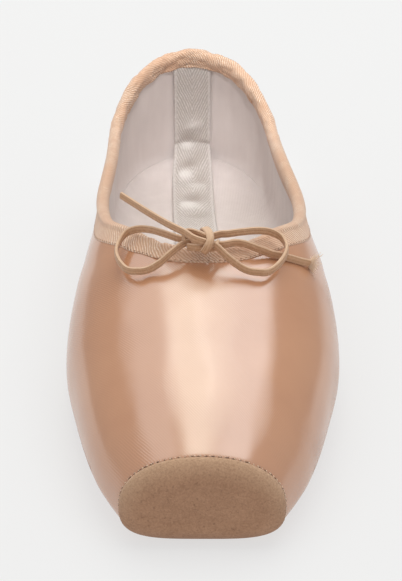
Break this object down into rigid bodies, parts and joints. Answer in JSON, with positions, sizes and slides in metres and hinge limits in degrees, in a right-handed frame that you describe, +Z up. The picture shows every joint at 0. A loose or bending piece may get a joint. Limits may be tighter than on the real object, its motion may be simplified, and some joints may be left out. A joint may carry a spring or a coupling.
{
  "type": "pointe shoe",
  "caption": "Satin pointe shoe with a flat suede-tipped toe platform, bound collar, drawstring bow, lined inside and leather sole.",
  "frame": {"origin": "middle of the shoe's outline on the floor, measured without the bow", "axes": "+Y from the toe platform to the heel, +Z up, +X to the right seen from the toe"},
  "size_m": [0.0846, 0.2367, 0.0604],
  "materials": {
    "satin": "satin weave over a stiff box, lined",
    "suede": "napped suede",
    "sole_leather": "buffed sole leather",
    "insole_cotton": "plain cotton",
    "twill_binding": "twill tape",
    "herringbone_tape": "herringbone tape",
    "drawstring": "woven elastic"
  },
  "bodies": {
    "root": {"upper": "satin", "suede_tip": "suede", "outsole": "sole_leather", "insole": "insole_cotton", "binding": "twill_binding", "back_tape": "herringbone_tape", "bow_knot": "drawstring", "bow_loop_left": "drawstring", "bow_loop_right": "drawstring", "bow_end_left": "drawstring", "bow_end_right": "drawstring"}
  },
  "joints": []
}
